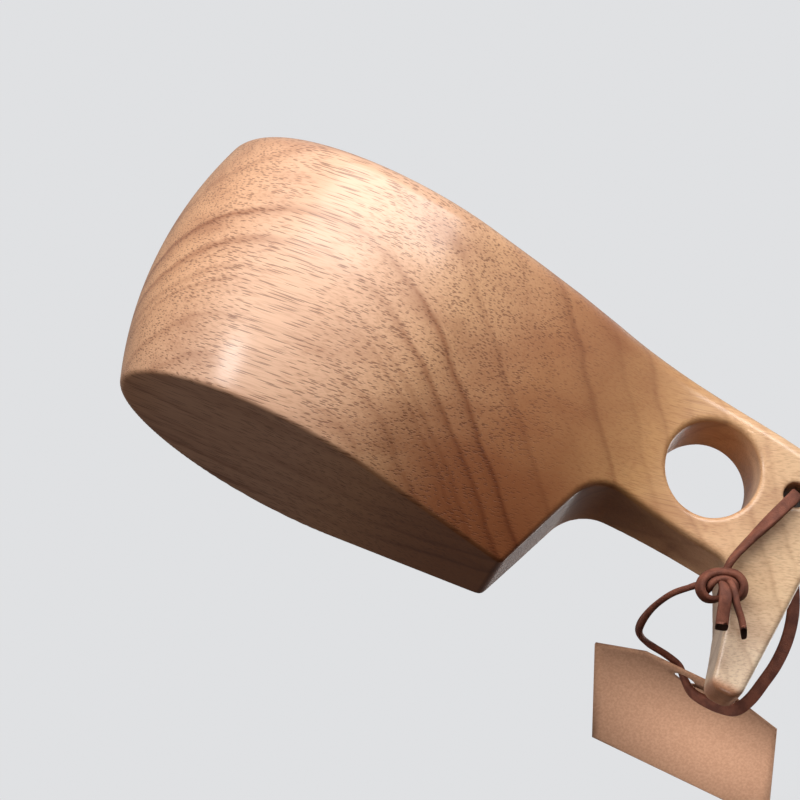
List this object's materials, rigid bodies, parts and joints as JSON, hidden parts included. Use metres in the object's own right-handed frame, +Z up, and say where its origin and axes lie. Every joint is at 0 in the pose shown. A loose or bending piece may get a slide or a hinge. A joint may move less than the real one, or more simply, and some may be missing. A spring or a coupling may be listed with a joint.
{
  "type": "kuksa wooden cup",
  "caption": "Carved wooden drinking cup with a finger-hole handle that hooks down to the table, a knotted leather lace loop and a blank card hang tag.",
  "frame": {"origin": "centre of the bowl's round base, on the surface that the cup stands on", "axes": "+Z up along the bowl's axis, +X from the bowl to the handle, y = 0 is the cup's plane of symmetry"},
  "size_m": [0.1699, 0.1261, 0.057],
  "materials": {
    "wood": "satin",
    "lace": "matte",
    "card": "matte"
  },
  "bodies": {
    "cup": {"cup": "wood"},
    "lanyard": {"lace_loop": "lace", "lace_knot": "lace", "lace_ends": "lace"},
    "tag": {"hang_tag": "card"}
  },
  "joints": [
    {"name": "lanyard_swing", "type": "hinge", "parent": "cup", "child": "lanyard", "pos_m": [0.096, 0, 0.0435], "axis": [0, 1, 0], "range_deg": [-12, 15]},
    {"name": "tag_lift", "type": "hinge", "parent": "lanyard", "child": "tag", "pos_m": [0.0945, 0.016, 0.0048], "axis": [0.936, -0.352, 0], "range_deg": [0, 40]}
  ]
}
